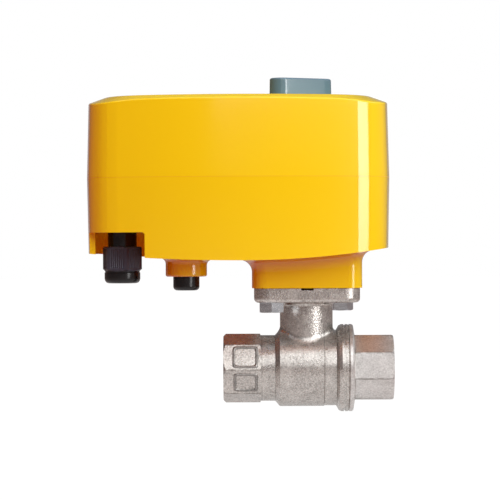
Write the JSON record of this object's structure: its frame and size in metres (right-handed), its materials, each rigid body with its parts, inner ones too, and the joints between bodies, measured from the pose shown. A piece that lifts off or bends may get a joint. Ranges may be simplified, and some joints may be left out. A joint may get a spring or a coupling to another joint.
{
  "type": "motorized ball valve",
  "caption": "Half-inch two-piece ball valve driven by a quarter-turn electric actuator in a yellow housing, with manual knob, gear-release button and cable gland.",
  "frame": {"origin": "centre of the inlet end face, on the pipe axis", "axes": "+X along the pipe from inlet to outlet, +Z along the stem towards the knob, -Y towards the viewer of the picture"},
  "size_m": [0.1247, 0.084, 0.1363],
  "materials": {
    "nickel_plate": "satin nickel plate on forged brass",
    "zinc_steel": "zinc plated steel",
    "polished_chrome": "polished chrome plate",
    "bare_brass": "machined brass",
    "bronze": "sintered bronze",
    "white_ptfe": "waxy white plastic",
    "black_rubber": "matt rubber",
    "yellow_housing": "smooth moulded gloss",
    "black_plastic": "moulded satin black",
    "grey_knob": "moulded satin blue-grey",
    "gear_steel": "cut steel, oiled",
    "spring_steel": "spring steel",
    "plate_steel": "pressed zinc plated sheet",
    "motor_zinc": "die cast",
    "cam_white": "moulded",
    "cam_red": "moulded",
    "board_green": "lacquered laminate",
    "terminal_grey": "moulded",
    "capacitor_blue": "dipped"
  },
  "bodies": {
    "valve_and_housing": {"valve_body": "nickel_plate", "end_connector": "nickel_plate", "body_seal": "black_rubber", "seat_rings": "white_ptfe", "thrust_washer": "white_ptfe", "flange_bolts": "zinc_steel", "base_housing": "yellow_housing", "cover_housing": "yellow_housing", "cover_gasket": "black_rubber", "cover_screws": "zinc_steel", "threaded_inserts": "bare_brass", "lower_bushing": "bronze", "upper_bushing": "bronze", "intermediate_axle": "gear_steel", "gear_plate": "plate_steel", "plate_screws": "zinc_steel", "board_spacers": "zinc_steel", "board_screws": "zinc_steel", "motor_gearbox": "motor_zinc", "motor_can": "plate_steel", "motor_screws": "zinc_steel", "open_switch": "black_plastic", "closed_switch": "black_plastic", "switch_screws": "zinc_steel", "circuit_board": "board_green", "terminal_block": "terminal_grey", "capacitor": "capacitor_blue", "button_spring": "spring_steel", "spring_retainer": "plate_steel", "button_seal": "black_rubber", "shaft_seal": "black_rubber", "gland_body": "black_plastic", "gland_nut": "black_plastic", "gland_seal": "black_rubber", "gland_lock_nut": "black_plastic"},
    "drive": {"output_shaft": "gear_steel", "output_gear": "gear_steel", "gear_retaining_ring": "spring_steel", "open_cam": "cam_white", "closed_cam": "cam_red", "manual_knob": "grey_knob", "valve_stem": "bare_brass", "stem_seals": "black_rubber", "ball": "polished_chrome"},
    "middle_gear": {"intermediate_gear": "gear_steel"},
    "release": {"release_button": "black_plastic", "clutch_axle": "gear_steel", "axle_clips": "spring_steel"},
    "clutch": {"clutch_gear": "gear_steel"},
    "pinion": {"motor_pinion": "bare_brass"}
  },
  "joints": [
    {"name": "valve_turn", "type": "hinge", "parent": "valve_and_housing", "child": "drive", "pos_m": [0.034, 0, 0], "axis": [0, 0, 1], "range_deg": [-25, 65]},
    {"name": "middle_gear_turn", "type": "hinge", "parent": "valve_and_housing", "child": "middle_gear", "pos_m": [0.00305, -0.00169, 0], "axis": [0, 0, 1], "range_deg": [-272.33, 105.67]},
    {"name": "release_press", "type": "slide", "parent": "valve_and_housing", "child": "release", "axis": [0, 0, 1], "range_m": [0, 0.004], "stiffness_N_per_m": 500, "springref_m": -0.004, "deforming": ["button_spring"]},
    {"name": "clutch_turn", "type": "hinge", "parent": "release", "child": "clutch", "pos_m": [-0.0147, -0.014, 0], "axis": [0, 0, 1], "range_deg": [-366.08, 949.42]},
    {"name": "motor_turn", "type": "hinge", "parent": "valve_and_housing", "child": "pinion", "pos_m": [-0.01147, 0.00432, 0], "axis": [0, 0, 1], "range_deg": [-3951.15, 1520.6]}
  ],
  "couplings": [
    {"joint": "middle_gear_turn", "follows": "valve_turn", "ratio": -4.1667},
    {"joint": "clutch_turn", "follows": "valve_turn", "ratio": 14.583},
    {"joint": "motor_turn", "follows": "valve_turn", "ratio": -60.764}
  ]
}
